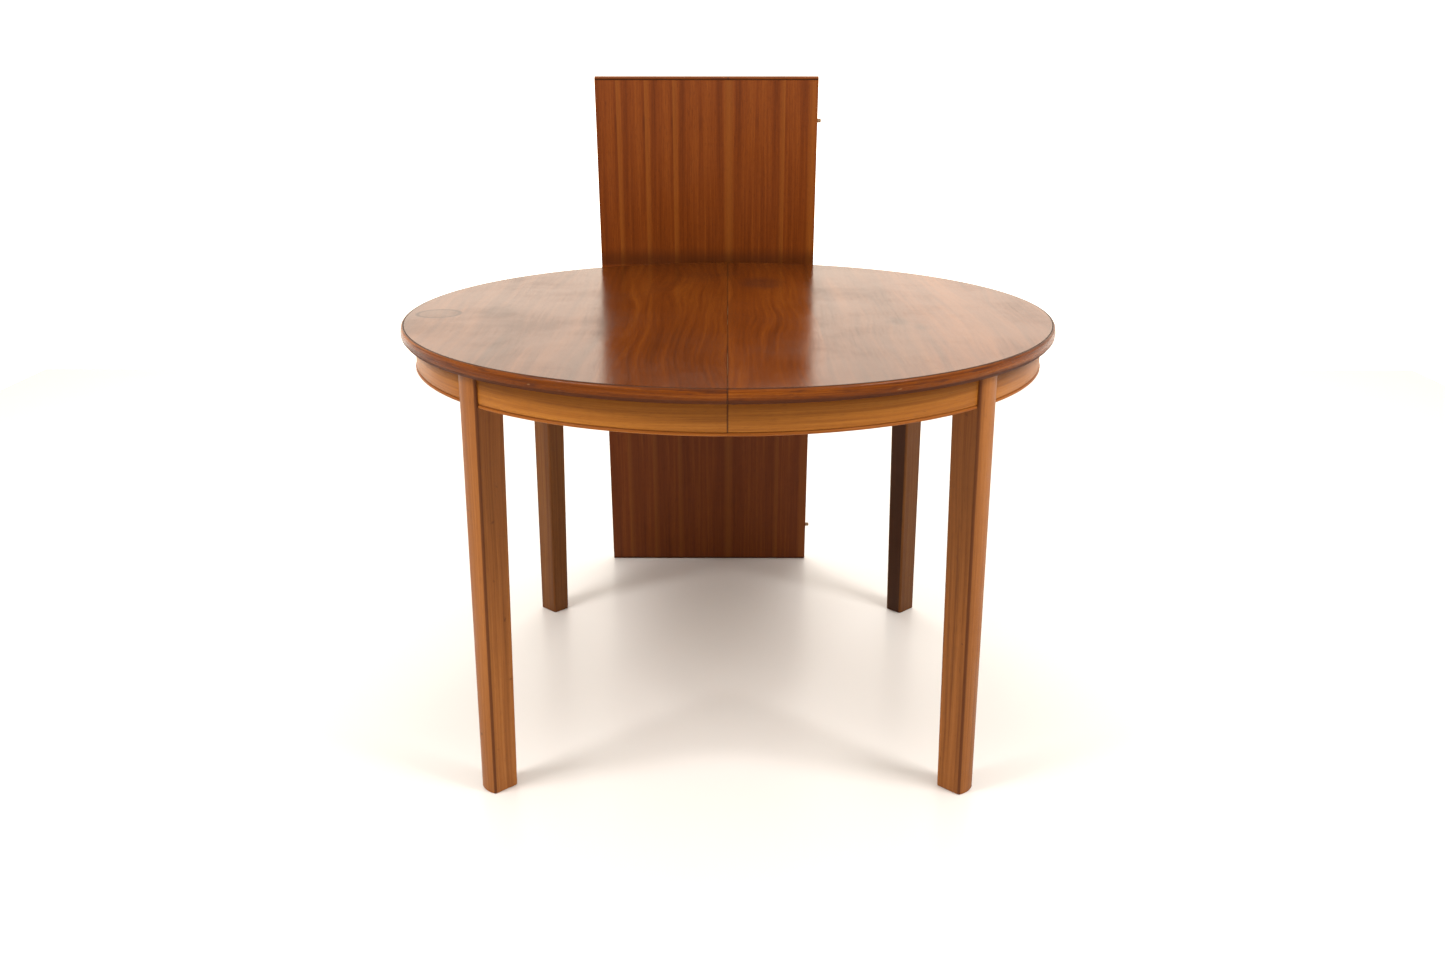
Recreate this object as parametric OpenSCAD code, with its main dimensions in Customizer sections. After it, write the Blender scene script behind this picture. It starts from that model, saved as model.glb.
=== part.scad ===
// Round extension dining table on four legs, with one loose leaf leaning behind it.
// Origin on the floor under the centre of the closed table. The halves slide apart
// along X, the table's front is at -Y, and Z is up. Millimetres throughout.

/* [Table] */
// Height from the floor to the top surface
table_h = 720; // [660:5:780]
// Diameter of the closed table over its lippings
table_d = 1110; // [960:10:1400]
// Gap between the two halves when the table is closed
join_gap = 0.3; // [0.2:0.1:1]

/* [Top] */
// Thickness of the top panels and of the leaf
panel_t = 22; // [18:1:30]
// Width of the solid lipping round the rim
lip_w = 6; // [6:0.5:20]
// Radius of the lipping's upper edge
lip_round = 5; // [2:0.5:5]
// Height of the bevel under the lipping
bevel_h = 5; // [2:0.5:7]
// Depth of the bevel under the lipping
bevel_w = 4; // [2:0.5:5]
// Swell of the lipping's face between its bevel and its round
lip_swell = 0.8; // [0.2:0.1:1]

/* [Apron] */
// Height of the apron with the edging under it
apron_h = 50; // [44:1:80]
// Thickness of the laminated apron
apron_t = 20; // [14:1:24]
// Distance from the rim in to the apron's face
apron_inset = 22.5; // [15:0.5:50]
// Height of the solid edging strip under the apron
edging_h = 5; // [3:0.5:8]
// How far the edging stands proud of the apron's face
edging_proud = 1.5; // [0.5:0.5:3]
// Size of the shadow groove over the edging
quirk = 1; // [0.5:0.5:2]
// Gap between an end of the edging and the leg beside it
edging_gap = 1.5; // [0.5:0.5:3]

/* [Legs] */
// Angle of each leg from the line that the halves slide along
leg_angle = 44; // [40:1:50]
// Width of a leg at the apron
leg_w = 44; // [38:1:60]
// Depth of a leg at the apron, from its outer edges to its inner face
leg_d = 48.5; // [40:0.5:60]
// How far a leg's outer edges stand proud of the apron's face
leg_proud = 3.5; // [2:0.5:12]
// Width of a leg at the floor
foot_w = 38; // [26:1:46]
// Depth of a leg at the floor
foot_d = 44; // [26:1:50]
// How far out the leg's outer edges have moved at the floor
foot_splay = 5; // [0:0.5:20]
// Rise of the leg's bowed outer face over its edges
leg_bow = 4.5; // [2:0.5:7]
// Radius of the leg's four long edges
leg_edge_r = 4; // [2:0.5:6]
// Straight length of the leg under the apron, before the taper
leg_straight = 12; // [4:1:40]
// Height of the small bevel round the foot
foot_bevel = 2; // [1:0.5:4]

/* [Corner blocks] */
// Length of a corner block along the apron
block_w = 180; // [140:5:220]
// Thickness of a corner block behind the leg
block_t = 35; // [25:1:45]
// Height of a corner block
block_h = 40; // [30:1:44]

/* [Slide rails] */
// Width of one rail
rail_w = 32; // [26:1:40]
// Height of one rail
rail_h = 36; // [30:1:38]
// Gap between the two rails of a pair
rail_gap = 0.6; // [0.4:0.1:1]
// Depth of the dovetail tongue
tongue_d = 10; // [6:1:12]
// Height of the tongue at its root
tongue_root = 10; // [8:1:12]
// Height of the tongue at its tip
tongue_tip = 16; // [13:1:18]
// Clearance round the tongue in its groove
tongue_fit = 0.35; // [0.3:0.05:0.8]
// Space between a pair of rails and the corner block beside it
rail_block_gap = 16; // [8:1:30]
// Space between a rail's fixed end and the apron
rail_end_gap = 8; // [4:1:20]
// How much shorter a rail is on the side of the other half
rail_short = 55; // [40:5:90]
// Space over a rail where it runs under the other half
rail_relief = 0.5; // [0.4:0.1:1]
// Length of a stop cleat
stop_l = 30; // [20:1:50]
// Thickness of a stop cleat
stop_t = 12; // [8:1:13]
// Space left between the two cleats at full travel
stop_gap = 0.5; // [0.4:0.1:2]
// Travel beyond the leaf's width, so that the leaf's pegs pass
travel_spare = 25; // [15:1:40]

/* [Battens] */
// Distance from the split to each batten
batten_x = 130; // [110:5:200]
// Width of a batten
batten_w = 45; // [30:1:70]
// Height of a batten
batten_h = 22; // [15:1:35]
// Space between a batten's end and the rail beside it
batten_gap = 6; // [4:1:20]

/* [Leaf] */
// Width of the leaf
leaf_w = 453; // [350:1:560]
// Angle at which the leaf leans on the rim
leaf_tilt = 7.5; // [5:0.5:12]
// Place of the leaf's centre line across the table
leaf_x = -43.5; // [-80:0.5:80]
// Gap between the leaf and the rim it leans on
leaf_gap = 0.3; // [0.2:0.1:1]

/* [Pegs and dowels] */
// Diameter of the locating pegs
peg_d = 8; // [6:0.5:10]
// Length of a peg that stands out
peg_out = 8; // [6:1:14]
// Length of a peg inside its own panel
peg_in = 22; // [15:1:30]
// Radius of a peg's rounded end
peg_round = 2.5; // [1:0.5:2.5]
// Distance from an end of the split to the nearest peg
peg_inset = 88; // [60:1:140]
// Radial clearance of a peg in the hole it enters
peg_fit = 0.1; // [0.05:0.01:0.2]
// Space left past the end of a peg in that hole
peg_end_gap = 1; // [0.5:0.5:3]
// Diameter of the dowels between apron and leg
dowel_d = 8; // [6:1:10]
// Depth of a dowel in the leg
dowel_leg = 16; // [12:1:17]
// Depth of a dowel in the apron
dowel_apron = 20; // [15:1:25]
// Distance between the two dowels of a joint
dowel_pitch = 24; // [20:1:28]

/* [Bolts and screws] */
// Diameter of the leg bolts
bolt_d = 8; // [6:1:10]
// Depth of a bolt in the leg
bolt_leg = 26; // [20:1:30]
// Length of bolt that shows beyond its nut
bolt_tail = 4; // [2:1:8]
// Diameter of a bolt's washer
washer_d = 24; // [20:1:30]
// Thickness of a bolt's washer
washer_t = 2; // [1.5:0.5:3]
// Width of a nut across its flats
nut_af = 13; // [10:1:17]
// Height of a nut
nut_h = 6.5; // [5:0.5:8]
// Radial clearance of a bolt in the corner block
bolt_fit = 0.5; // [0.3:0.1:1]
// Diameter of the wood screws
screw_d = 4; // [3:0.5:5]
// Diameter of a wood screw's head
head_d = 8; // [7:0.5:10]
// Height of a wood screw's countersunk head
head_h = 2.5; // [2:0.5:4]
// Depth that a screw bites into the wood it holds to
screw_bite = 13; // [8:1:15]
// Depth of the counterbore over a rail's screw
rail_bore = 12; // [6:1:18]
// Radial clearance of a piece in its own drilled hole
drill_fit = 0.05; // [0.02:0.01:0.2]

/* [Catches] */
// Distance from the split to a hook's pivot, and to the stud it catches
hook_x = 35; // [25:1:45]
// Distance from the centre line to each hook's pivot
hook_y = 92; // [92:1:96]
// Thickness of a hook
hook_t = 2; // [1.5:0.5:3]
// Radius of the eye round a hook's pivot
hook_eye_r = 8; // [7:0.5:9]
// Width of a hook's arm
hook_arm_w = 7; // [6:0.5:9]
// Width of a hook's tip
hook_tip_w = 6; // [5:0.5:8]
// Diameter of the pivot and of the stud
stud_d = 5; // [4:0.5:6]
// Diameter of the head on a pivot or a stud
stud_head_d = 11; // [9:0.5:13]
// Thickness of that head
stud_head_t = 2; // [1.5:0.5:3]
// Clearance between a hook and the pieces round it
hook_fit = 0.5; // [0.3:0.1:1]

/* [Hidden] */

$fn = 32;
RIM_FN = 240;
LEFT = -1;
RIGHT = 1;
FRONT = -1;
BACK = 1;
ENDS = [FRONT, BACK];
// Overshoot of every cutting solid past the face that it cuts
past = 1;

rim_r = table_d / 2;
panel_r = rim_r - lip_w;
under_z = table_h - panel_t;

apron_out_r = rim_r - apron_inset;
apron_in_r = apron_out_r - apron_t;
apron_low_z = under_z - apron_h;
apron_wood_z = apron_low_z + edging_h;
dowel_r = apron_out_r - apron_t / 2;
dowel_mid_z = (apron_wood_z + under_z) / 2;

// Radial places of the leg's outer edges, and of its inner face
leg_edge_u = apron_out_r + leg_proud;
leg_in_u = leg_edge_u - leg_d;
taper_z = apron_low_z - leg_straight;

block_in_u = leg_in_u - block_t;
// The corner of the block that comes nearest to the rails
block_near_y = block_in_u * sin(leg_angle) - block_w / 2 * cos(leg_angle);
bolt_z = under_z - block_h / 2;

// The right half's rails lie outside the left half's, which hold the grooves
outer_rail_y = block_near_y - rail_block_gap - rail_w;
inner_rail_y = outer_rail_y - rail_gap - rail_w;
rail_low_z = under_z - rail_h;
rail_mid_z = under_z - rail_h / 2;
rail_far_x = sqrt(pow(apron_in_r, 2) - pow(outer_rail_y + rail_w, 2)) - rail_end_gap;
rail_free_x = rail_far_x - rail_short;
travel = leaf_w + travel_spare;
// Where each half's cleats begin, with the half's own side on +X
right_stop_x = -rail_free_x;
left_stop_x = rail_free_x - travel - stop_gap - 2 * stop_l;
stop_arm_gap = 1;
stop_arm_y = inner_rail_y + rail_w / 4;

batten_l = 2 * (inner_rail_y - batten_gap);

leaf_l = table_d;
peg_y = rim_r - peg_inset;
PEG_PLACES = [-peg_y, 0, peg_y];
peg_z = under_z + panel_t / 2;
// The leaf stands on its rounded lower edge and leans on the rim's rounded edge
leaf_z = lip_round * (1 - cos(leaf_tilt) - sin(leaf_tilt));
leaf_drop = (table_h - lip_round - leaf_z) * sin(leaf_tilt);
leaf_y = rim_r - lip_round + (lip_round + leaf_gap + leaf_drop) / cos(leaf_tilt);

hook_reach = 2 * hook_x;
hook_z = under_z - stud_head_t - hook_t;
hook_arm_y = -stud_d / 2 - hook_fit - hook_arm_w;

// Points along an arc from angle a to angle b
function arc(cx, cy, r, a, b, n = 6) =
    [for (i = [0:n]) let (t = a + (b - a) * i / n) [cx + r * cos(t), cy + r * sin(t)]];

// Section of a lipping: x runs outwards from the panel, y up from the underside
function lip_section() =
    let (rise = panel_t - lip_round - bevel_h,
         swell_r = (pow(rise / 2, 2) + pow(lip_swell, 2)) / (2 * lip_swell),
         half = asin(rise / 2 / swell_r),
         mid = bevel_h + rise / 2,
         edge = lip_w - lip_swell)
    concat(
        [[0, 0], [edge - bevel_w, 0]],
        arc(lip_w - swell_r, mid, swell_r, -half, half),
        arc(edge - lip_round, panel_t - lip_round, lip_round, 15, 90),
        [[0, panel_t]]);

// Section of a leg: x is outwards with its outer edges at 0, y along the apron
function leg_section(w, d) =
    let (bow_r = (pow(w / 2, 2) + pow(leg_bow, 2)) / (2 * leg_bow),
         bow_x = leg_bow - bow_r,
         side = w / 2 - leg_edge_r,
         edge_x = bow_x + sqrt(pow(bow_r - leg_edge_r, 2) - pow(side, 2)),
         lean = atan2(side, edge_x - bow_x))
    concat(
        arc(leg_edge_r - d, -side, leg_edge_r, 180, 270),
        arc(edge_x, -side, leg_edge_r, 270, 360 - lean),
        arc(bow_x, 0, bow_r, -lean, lean, 10),
        arc(edge_x, side, leg_edge_r, lean, 90),
        arc(leg_edge_r - d, side, leg_edge_r, 90, 180));

// Screws of one half, each as [x, y] with the half's own side on +X
rail_screw_step = (rail_far_x - 2 * rail_short) / 2;
function rail_screws_at(y) =
    [for (i = [0:2]) [rail_short + i * rail_screw_step, y + rail_w / 2]];
function batten_screws_at() =
    [for (i = [-1:1]) [batten_x + batten_w / 2, i * batten_l / 3]];
function block_screws_at(end) =
    [for (s = [-1, 1])
        let (u = block_in_u + block_t / 2, v = s * block_w / 3)
        [u * cos(leg_angle) - v * sin(leg_angle),
         end * (u * sin(leg_angle) + v * cos(leg_angle))]];

// Everything is drawn for the right half or the back right quarter, then mirrored
module on_half(side) {
    mirror([side == LEFT ? 1 : 0, 0, 0]) children();
}

module on_quarter(side, end) {
    on_half(side) mirror([0, end == FRONT ? 1 : 0, 0]) children();
}

module at_leg() {
    rotate([0, 0, leg_angle]) children();
}

// The space of the right half, which ends half the closing gap from the split
module half_space() {
    translate([join_gap / 2, -table_d, -past])
        cube([table_d, 2 * table_d, table_h + 2 * past]);
}

// Extrudes a (y, z) section along X from x0 for the length l
module along_x(x0, l, points) {
    translate([x0, 0, 0]) rotate([90, 0, 90]) linear_extrude(l) polygon(points);
}

// The straight sided part of a leg, as the cut it needs in the pieces beside it
module leg_slot(gap = 0) {
    at_leg() translate([leg_in_u, -leg_w / 2 - gap, apron_low_z - past])
        cube([leg_d + leg_bow + past, leg_w + 2 * gap, apron_h + 2 * past]);
}

// A countersunk screw whose head starts at z0 and whose point is at z1
module screw(z0, z1, fit = 0) {
    translate([0, 0, z0]) cylinder(h = head_h, d1 = head_d + 2 * fit, d2 = screw_d + 2 * fit);
    translate([0, 0, z0]) cylinder(h = z1 - z0, d = screw_d + 2 * fit);
}

// The hole for that screw, open down to z_low
module screw_hole(z_low, z0, z1) {
    screw(z0, z1, drill_fit);
    translate([0, 0, z_low - past]) cylinder(h = z0 - z_low + past + 0.01, d = head_d + 2 * drill_fit);
}

// Both dowels of each joint at a leg, laid along the apron
module dowel_set(fit = 0) {
    for (s = [-1, 1]) for (k = [-1, 1])
        at_leg() translate([dowel_r, s * (leg_w / 2 - dowel_leg), dowel_mid_z + k * dowel_pitch / 2])
            rotate([-s * 90, 0, 0]) cylinder(h = dowel_leg + dowel_apron, d = dowel_d + 2 * fit);
}

module bolt_shank(u0, u1, d) {
    at_leg() translate([u0, 0, bolt_z]) rotate([0, 90, 0]) cylinder(h = u1 - u0, d = d);
}

// A peg along Z, seated below 0 and standing out above it
module peg() {
    rotate_extrude() polygon(concat(
        [[0, -peg_in], [peg_d / 2, -peg_in]],
        arc(peg_d / 2 - peg_round, peg_out - peg_round, peg_round, 0, 90),
        [[0, peg_out]]));
}

// Pilot holes of one half's screws, in the underside of its panel
module pilot_holes(rail_y) {
    for (end = ENDS)
        for (p = concat(block_screws_at(BACK), rail_screws_at(rail_y), [[hook_x, hook_y]]))
            translate([p.x, end * p.y, under_z - past])
                cylinder(h = screw_bite + past, d = screw_d + 2 * drill_fit);
    for (p = batten_screws_at())
        translate([p.x, p.y, under_z - past])
            cylinder(h = screw_bite + past, d = screw_d + 2 * drill_fit);
}

module panel_half(rail_y) {
    difference() {
        intersection() {
            translate([0, 0, under_z]) cylinder(h = panel_t, r = panel_r, $fn = RIM_FN);
            half_space();
        }
        pilot_holes(rail_y);
    }
}

// Row of holes across the split, entering a face at x = 0 towards +X
module peg_holes(depth, fit) {
    for (y = PEG_PLACES)
        translate([-past, y, peg_z]) rotate([0, 90, 0]) cylinder(h = depth + past, d = peg_d + 2 * fit);
}

module top_panel_left() color("peru") on_half(LEFT) difference() {
    panel_half(inner_rail_y);
    peg_holes(peg_in + join_gap / 2 + drill_fit, drill_fit);
}

module top_panel_right() color("peru") difference() {
    panel_half(outer_rail_y);
    peg_holes(peg_out + peg_end_gap, peg_fit);
}

module edge_lipping(side) color("sienna") on_half(side) intersection() {
    rotate_extrude($fn = RIM_FN)
        polygon([for (p = lip_section()) [panel_r + p.x, under_z + p.y]]);
    half_space();
}

// The three stretches of apron on a half: [first angle, last angle], front stretch first
function stretch(part) =
    part == "side" ? [-leg_angle, leg_angle] : [leg_angle, 90];

module apron_stretch(part, points, gap = 0) {
    span = stretch(part);
    difference() {
        intersection() {
            rotate_extrude(angle = span[1] - span[0], start = span[0], $fn = RIM_FN) polygon(points);
            half_space();
        }
        leg_slot(gap);
        if (part == "side") mirror([0, 1, 0]) leg_slot(gap);
    }
}

module apron(side, end, part) color("chocolate") on_quarter(side, end) difference() {
    apron_stretch(part, [
        [apron_in_r, apron_wood_z], [apron_out_r - quirk, apron_wood_z],
        [apron_out_r - quirk, apron_wood_z + quirk], [apron_out_r, apron_wood_z + quirk],
        [apron_out_r, under_z], [apron_in_r, under_z]]);
    dowel_set(drill_fit);
    if (part == "side") mirror([0, 1, 0]) dowel_set(drill_fit);
}

// A strip with a half round nose, glued under the apron
module apron_edging(side, end, part) color("saddlebrown") on_quarter(side, end)
    apron_stretch(part, concat(
        [[apron_in_r, apron_low_z]],
        arc(apron_out_r + edging_proud - edging_h / 2, apron_low_z + edging_h / 2, edging_h / 2, -90, 90),
        [[apron_in_r, apron_wood_z]]), edging_gap);

// A thin slice of leg, inset all round by the bevel where it meets the floor
module leg_slice(z, w, d, edge_u, inset = 0) {
    translate([edge_u - inset, 0, z]) linear_extrude(0.01)
        polygon(leg_section(w - 2 * inset, d - 2 * inset));
}

module leg(side, end) color("sienna") on_quarter(side, end) difference() {
    at_leg() union() {
        hull() {
            leg_slice(taper_z - 0.01, leg_w, leg_d, leg_edge_u);
            leg_slice(foot_bevel, foot_w, foot_d, leg_edge_u + foot_splay);
            leg_slice(0, foot_w, foot_d, leg_edge_u + foot_splay, foot_bevel);
        }
        translate([leg_edge_u, 0, taper_z]) linear_extrude(under_z - taper_z)
            polygon(leg_section(leg_w, leg_d));
    }
    dowel_set(drill_fit);
    bolt_shank(leg_in_u - past, leg_in_u + bolt_leg, bolt_d + 2 * drill_fit);
}

module corner_block(side, end) color("burlywood") on_quarter(side, end) difference() {
    intersection() {
        translate([0, 0, under_z - block_h]) cylinder(h = block_h, r = apron_in_r, $fn = RIM_FN);
        at_leg() translate([block_in_u, -block_w / 2, under_z - block_h])
            cube([table_d, block_w, block_h]);
    }
    leg_slot();
    bolt_shank(block_in_u - past, leg_in_u + past, bolt_d + 2 * bolt_fit);
    for (p = block_screws_at(BACK))
        translate([p.x, p.y, 0]) screw_hole(under_z - block_h, under_z - block_h, under_z + past);
}

module apron_dowels(side) color("tan")
    for (end = ENDS) on_quarter(side, end) dowel_set();

module leg_bolts(side) color("silver") for (end = ENDS) on_quarter(side, end)
    bolt_shank(block_in_u - washer_t - nut_h - bolt_tail, leg_in_u + bolt_leg, bolt_d);

module leg_washers(side) color("lightgray") for (end = ENDS) on_quarter(side, end) difference() {
    bolt_shank(block_in_u - washer_t, block_in_u, washer_d);
    bolt_shank(block_in_u - washer_t - past, block_in_u + past, bolt_d + 2 * drill_fit);
}

module leg_nuts(side) color("gray") for (end = ENDS) on_quarter(side, end) difference() {
    at_leg() translate([block_in_u - washer_t - nut_h, 0, bolt_z]) rotate([0, 90, 0])
        cylinder(h = nut_h, d = nut_af / cos(30), $fn = 6);
    bolt_shank(block_in_u - washer_t - nut_h - past, block_in_u, bolt_d + 2 * drill_fit);
}

module corner_block_screws(side) color("gold") on_half(side)
    for (end = ENDS) for (p = block_screws_at(end))
        translate([p.x, p.y, 0]) screw(under_z - block_h, under_z + screw_bite - past);

module batten(side) color("burlywood") on_half(side) difference() {
    translate([batten_x, -batten_l / 2, under_z - batten_h]) cube([batten_w, batten_l, batten_h]);
    for (p = batten_screws_at())
        translate([p.x, p.y, 0]) screw_hole(under_z - batten_h, under_z - batten_h, under_z + past);
}

module batten_screws(side) color("gold") on_half(side)
    for (p = batten_screws_at())
        translate([p.x, p.y, 0]) screw(under_z - batten_h, under_z + screw_bite - past);

// A rail with its fixed half on +X, lowered a little where it runs under the other half
module rail_bar(y) {
    translate([-rail_free_x, y, rail_low_z])
        cube([rail_free_x + rail_far_x, rail_w, rail_h - rail_relief]);
    translate([join_gap / 2, y, rail_low_z]) cube([rail_far_x - join_gap / 2, rail_w, rail_h]);
}

module rail_screw_holes(y, cleat_x) {
    for (p = rail_screws_at(y))
        translate([p.x, p.y, 0]) screw_hole(rail_low_z, rail_low_z + rail_bore, under_z + past);
    for (p = stop_screws_at(y, cleat_x))
        translate([p.x, p.y, rail_low_z - past])
            cylinder(h = screw_bite + past, d = screw_d + 2 * drill_fit);
}

// Screws of a cleat that starts at cleat_x under the rail at y
function stop_screws_at(y, cleat_x) =
    [for (i = [-1, 1]) [cleat_x + stop_l / 2 + i * stop_l / 4, y + rail_w / 2]];

// The tongue's section, or its groove's when fit is the clearance round it
module tongue(fit) {
    root_y = outer_rail_y + (fit > 0 ? past : 0);
    tip_y = outer_rail_y - tongue_d - fit;
    slope = (tongue_tip - tongue_root) / 2 / tongue_d;
    rise = fit * sqrt(1 + slope * slope);
    root_half = tongue_root / 2 + rise - slope * (root_y - outer_rail_y);
    tip_half = tongue_tip / 2 + rise + slope * fit;
    extra = fit > 0 ? past : 0;
    along_x(-rail_free_x - extra, rail_free_x + rail_far_x + 2 * extra + (fit > 0 ? rail_short : 0), [
        [root_y, rail_mid_z - root_half], [tip_y, rail_mid_z - tip_half],
        [tip_y, rail_mid_z + tip_half], [root_y, rail_mid_z + root_half]]);
}

// Right half: the outer rail, with the tongue
module slide_rail_right(end) color("wheat") on_quarter(RIGHT, end) difference() {
    union() {
        rail_bar(outer_rail_y);
        tongue(0);
    }
    rail_screw_holes(outer_rail_y, right_stop_x);
}

// Left half: the inner rail, with the groove
module slide_rail_left(end) color("tan") on_quarter(LEFT, end) difference() {
    rail_bar(inner_rail_y);
    tongue(tongue_fit);
    rail_screw_holes(inner_rail_y, left_stop_x);
}

module rail_screws(side, y) color("gold") on_half(side)
    for (end = ENDS) for (p = rail_screws_at(y))
        translate([p.x, end * p.y, 0]) screw(rail_low_z + rail_bore, under_z + screw_bite - past);

// Right half's cleat: under the free end of its rail, with an arm under the other rail
module rail_stops_right() color("peru") for (end = ENDS) on_quarter(RIGHT, end) difference() {
    translate([right_stop_x, 0, rail_low_z - stop_t]) union() {
        translate([0, outer_rail_y, 0]) cube([stop_l, rail_w, stop_t]);
        translate([0, stop_arm_y, 0])
            cube([stop_l, outer_rail_y + rail_w - stop_arm_y, stop_t - stop_arm_gap]);
    }
    for (p = stop_screws_at(outer_rail_y, right_stop_x))
        translate([p.x, p.y, 0]) screw_hole(rail_low_z - stop_t, rail_low_z - stop_t, rail_low_z + past);
}

// Left half's cleat: the block that the right half's arm meets at full travel
module rail_stops_left() color("peru") for (end = ENDS) on_quarter(LEFT, end) difference() {
    translate([left_stop_x, inner_rail_y, rail_low_z - stop_t]) cube([stop_l, rail_w, stop_t]);
    for (p = stop_screws_at(inner_rail_y, left_stop_x))
        translate([p.x, p.y, 0]) screw_hole(rail_low_z - stop_t, rail_low_z - stop_t, rail_low_z + past);
}

module stop_screws(side, y, cleat_x) color("gold") on_half(side)
    for (end = ENDS) for (p = stop_screws_at(y, cleat_x))
        translate([p.x, end * p.y, 0]) screw(rail_low_z - stop_t, rail_low_z + screw_bite - past);

module locating_pegs() color("burlywood")
    for (y = PEG_PLACES)
        translate([-join_gap / 2, y, peg_z]) rotate([0, 90, 0]) peg();

// A hook round its pivot at the origin, as it lies when it holds the stud on +X
module hook_plate() {
    linear_extrude(hook_t) difference() {
        union() {
            circle(r = hook_eye_r);
            translate([0, hook_arm_y]) square([hook_reach + stud_d / 2 + hook_fit + hook_tip_w, hook_arm_w]);
            translate([hook_reach + stud_d / 2 + hook_fit, hook_arm_y])
                square([hook_tip_w, hook_arm_w + stud_d]);
        }
        circle(d = stud_d + 2 * drill_fit);
    }
}

// Parked: turned back along the underside of the left half
module catch_hook(end) color("goldenrod") on_quarter(RIGHT, end)
    translate([-hook_x, hook_y, hook_z]) rotate([0, 0, 180]) hook_plate();

// A shouldered stud: head, plain shank past the hook, and a screw point in the panel
module stud() {
    translate([0, 0, hook_z - hook_fit - stud_head_t]) cylinder(h = stud_head_t, d = stud_head_d);
    translate([0, 0, hook_z - hook_fit]) cylinder(h = under_z - hook_z + hook_fit, d = stud_d);
    translate([0, 0, under_z - past]) cylinder(h = screw_bite, d = screw_d);
}

module catch_pivots() color("goldenrod")
    for (end = ENDS) translate([-hook_x, end * hook_y, 0]) stud();

module catch_studs() color("goldenrod")
    for (end = ENDS) translate([hook_x, end * hook_y, 0]) stud();

// Stands the leaf up: its face at y = 0 turns to the table, its length runs up Z
module lean() {
    translate([leaf_x, leaf_y, leaf_z]) rotate([leaf_tilt, 0, 0]) children();
}

// Row of pegs or holes up one long edge of the leaf, pointing to +X
module up_leaf_edge(x) {
    for (y = PEG_PLACES)
        translate([x, panel_t / 2, leaf_l / 2 + y]) rotate([0, 90, 0]) children();
}

module leaf_panel() color("saddlebrown") lean() difference() {
    translate([-leaf_w / 2, 0, lip_w]) cube([leaf_w, panel_t, leaf_l - 2 * lip_w]);
    up_leaf_edge(leaf_w / 2 - peg_in - drill_fit) cylinder(h = peg_in + past, d = peg_d + 2 * drill_fit);
    up_leaf_edge(-leaf_w / 2 - past) cylinder(h = peg_out + peg_end_gap + past, d = peg_d + 2 * peg_fit);
}

module leaf_lipping_upper() color("sienna") lean()
    along_x(-leaf_w / 2, leaf_w, [for (p = lip_section()) [panel_t - p.y, leaf_l - lip_w + p.x]]);

module leaf_lipping_lower() color("sienna") lean()
    along_x(-leaf_w / 2, leaf_w, [for (p = lip_section()) [panel_t - p.y, lip_w - p.x]]);

module leaf_pegs() color("burlywood") lean() up_leaf_edge(leaf_w / 2) peg();

top_panel_left();
top_panel_right();
edge_lipping(LEFT);  // edge_lipping_left
edge_lipping(RIGHT);  // edge_lipping_right
apron(LEFT, FRONT, "end");  // apron_front_left
apron(LEFT, BACK, "side");  // apron_side_left
apron(LEFT, BACK, "end");  // apron_back_left
apron(RIGHT, FRONT, "end");  // apron_front_right
apron(RIGHT, BACK, "side");  // apron_side_right
apron(RIGHT, BACK, "end");  // apron_back_right
apron_edging(LEFT, FRONT, "end");  // apron_edging_front_left
apron_edging(LEFT, BACK, "side");  // apron_edging_side_left
apron_edging(LEFT, BACK, "end");  // apron_edging_back_left
apron_edging(RIGHT, FRONT, "end");  // apron_edging_front_right
apron_edging(RIGHT, BACK, "side");  // apron_edging_side_right
apron_edging(RIGHT, BACK, "end");  // apron_edging_back_right
leg(LEFT, FRONT);  // leg_front_left
leg(LEFT, BACK);  // leg_back_left
leg(RIGHT, FRONT);  // leg_front_right
leg(RIGHT, BACK);  // leg_back_right
corner_block(LEFT, FRONT);  // corner_block_front_left
corner_block(LEFT, BACK);  // corner_block_back_left
corner_block(RIGHT, FRONT);  // corner_block_front_right
corner_block(RIGHT, BACK);  // corner_block_back_right
apron_dowels(LEFT);  // apron_dowels_left
apron_dowels(RIGHT);  // apron_dowels_right
leg_bolts(LEFT);  // leg_bolts_left
leg_bolts(RIGHT);  // leg_bolts_right
leg_washers(LEFT);  // leg_washers_left
leg_washers(RIGHT);  // leg_washers_right
leg_nuts(LEFT);  // leg_nuts_left
leg_nuts(RIGHT);  // leg_nuts_right
corner_block_screws(LEFT);  // corner_block_screws_left
corner_block_screws(RIGHT);  // corner_block_screws_right
batten(LEFT);  // batten_left
batten(RIGHT);  // batten_right
batten_screws(LEFT);  // batten_screws_left
batten_screws(RIGHT);  // batten_screws_right
slide_rail_left(FRONT);  // slide_rail_front_left
slide_rail_left(BACK);  // slide_rail_back_left
slide_rail_right(FRONT);  // slide_rail_front_right
slide_rail_right(BACK);  // slide_rail_back_right
rail_screws(LEFT, inner_rail_y);  // rail_screws_left
rail_screws(RIGHT, outer_rail_y);  // rail_screws_right
rail_stops_left();
rail_stops_right();
stop_screws(LEFT, inner_rail_y, left_stop_x);  // stop_screws_left
stop_screws(RIGHT, outer_rail_y, right_stop_x);  // stop_screws_right
locating_pegs();
catch_hook(FRONT);  // catch_hook_front
catch_hook(BACK);  // catch_hook_back
catch_pivots();
catch_studs();
leaf_panel();
leaf_lipping_upper();
leaf_lipping_lower();
leaf_pegs();
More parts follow.
